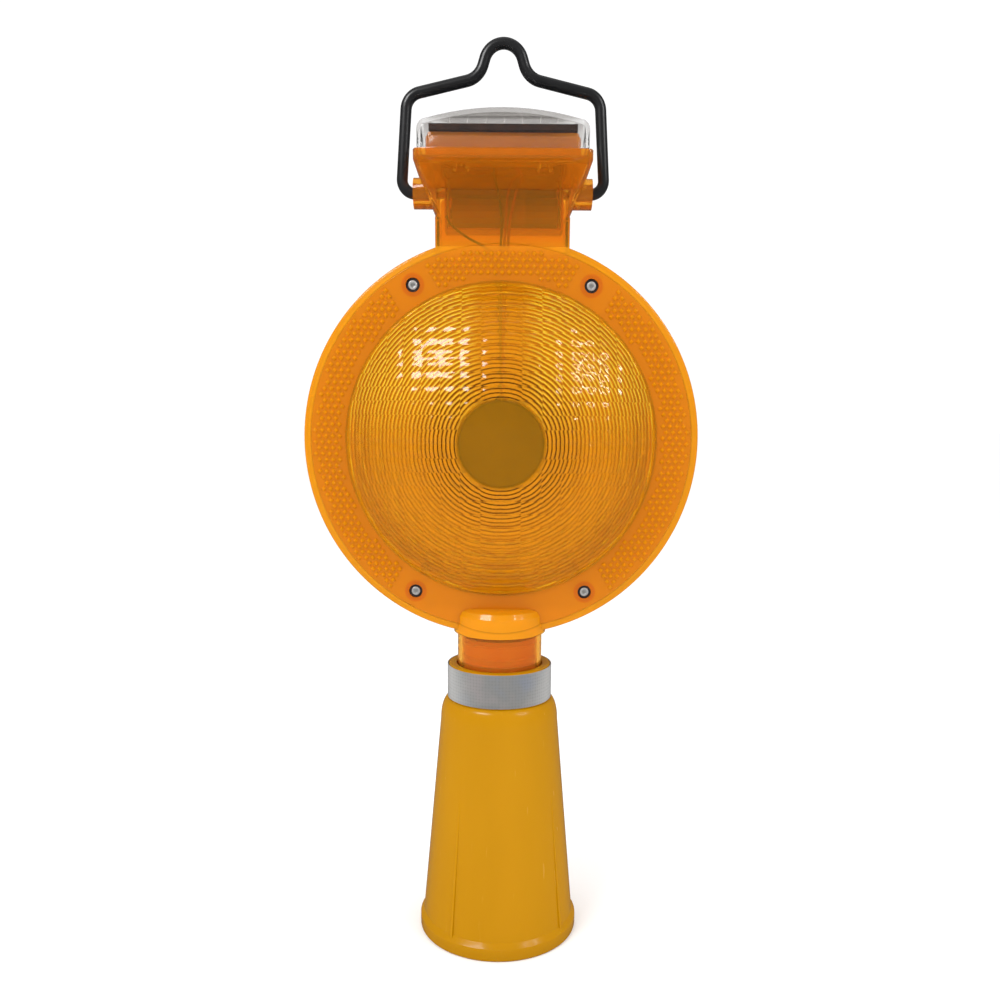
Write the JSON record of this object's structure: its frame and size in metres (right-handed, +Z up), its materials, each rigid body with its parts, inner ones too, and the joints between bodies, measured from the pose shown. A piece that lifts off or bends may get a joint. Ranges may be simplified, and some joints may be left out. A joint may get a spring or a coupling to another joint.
{
  "type": "solar cone warning light",
  "caption": "Two-sided round amber warning light with solar panel, hanging bail, and hollow yellow adapter that fits over a traffic cone's tip.",
  "frame": {"origin": "centre of the adapter's foot, on the plane it stands on", "axes": "+Z up along the mount tube, lens faces along -Y (front) and +Y, bail pivot along X"},
  "size_m": [0.19, 0.083, 0.4389],
  "materials": {
    "yellow_plastic": "glossy moulded yellow",
    "reflective_tape": "satin grey retroreflective film",
    "clear_amber": "transparent amber",
    "deep_orange": "transparent deep orange",
    "amber_lens": "transparent amber with moulded prisms",
    "orange_housing": "transparent orange",
    "clear_cover": "clear polished",
    "black_coated_rod": "satin black plastic coating on steel",
    "zinc_steel": "bright zinc",
    "seal_rubber": "matt",
    "solar_cells": "dark cells in clear resin",
    "drum_brown": "satin",
    "circuit_board": "solder-masked board",
    "led_amber": "tinted epoxy",
    "cell_can": "shrink-sleeved cell",
    "red_wire": "pvc insulation",
    "black_wire": "pvc insulation",
    "black_plastic": "satin"
  },
  "bodies": {
    "adapter": {"cone_adapter": "yellow_plastic", "reflective_band": "reflective_tape"},
    "tube": {"mount_tube": "clear_amber", "tube_liner": "deep_orange"},
    "lamp_head": {"front_lens": "amber_lens", "rear_lens": "amber_lens", "lens_gasket_left": "seal_rubber", "lens_gasket_right": "seal_rubber", "lens_screw_lower_left": "zinc_steel", "lens_screw_lower_right": "zinc_steel", "lens_screw_upper_left": "zinc_steel", "lens_screw_upper_right": "zinc_steel", "lens_nut_lower_left": "zinc_steel", "lens_nut_lower_right": "zinc_steel", "lens_nut_upper_left": "zinc_steel", "lens_nut_upper_right": "zinc_steel", "hopper_housing": "orange_housing", "solar_tray": "orange_housing", "tray_screw_front_left": "zinc_steel", "tray_screw_front_right": "zinc_steel", "tray_screw_rear_left": "zinc_steel", "tray_screw_rear_right": "zinc_steel", "solar_panel": "solar_cells", "solar_cover": "clear_cover", "battery_holder": "deep_orange", "battery_cell_upper": "cell_can", "battery_cell_lower": "cell_can", "battery_spring_upper": "zinc_steel", "battery_spring_lower": "zinc_steel", "battery_contact_left": "zinc_steel", "battery_contact_right": "zinc_steel", "lamp_drum_front": "drum_brown", "lamp_drum_rear": "drum_brown", "lamp_board": "circuit_board", "flasher_chip": "black_plastic", "charge_chip": "black_plastic", "board_capacitor": "black_plastic", "led_1": "led_amber", "led_2": "led_amber", "led_3": "led_amber", "led_4": "led_amber", "led_5": "led_amber", "led_6": "led_amber", "led_7": "led_amber", "led_8": "led_amber", "solar_wire_red": "red_wire", "solar_wire_black": "black_wire", "battery_wire_red": "red_wire", "battery_wire_black": "black_wire", "switch_wire": "black_wire", "switch_body": "black_plastic", "switch_nut": "black_plastic"},
    "bail": {"bail": "black_coated_rod"},
    "button": {"switch_button": "seal_rubber"}
  },
  "joints": [
    {"name": "tube_lift", "type": "slide", "parent": "adapter", "child": "tube", "axis": [0, 0, 1], "range_m": [0, 0.035]},
    {"name": "head_swivel", "type": "hinge", "parent": "tube", "child": "lamp_head", "pos_m": [0, 0, 0.165], "axis": [0, 0, 1], "continuous": true},
    {"name": "bail_swing", "type": "hinge", "parent": "lamp_head", "child": "bail", "pos_m": [0, 0, 0.3713], "axis": [1, 0, 0], "range_deg": [-150, 150]},
    {"name": "switch_press", "type": "slide", "parent": "lamp_head", "child": "button", "axis": [0, -0.2833, 0.959], "range_m": [0, 0.0015], "stiffness_N_per_m": 500}
  ]
}
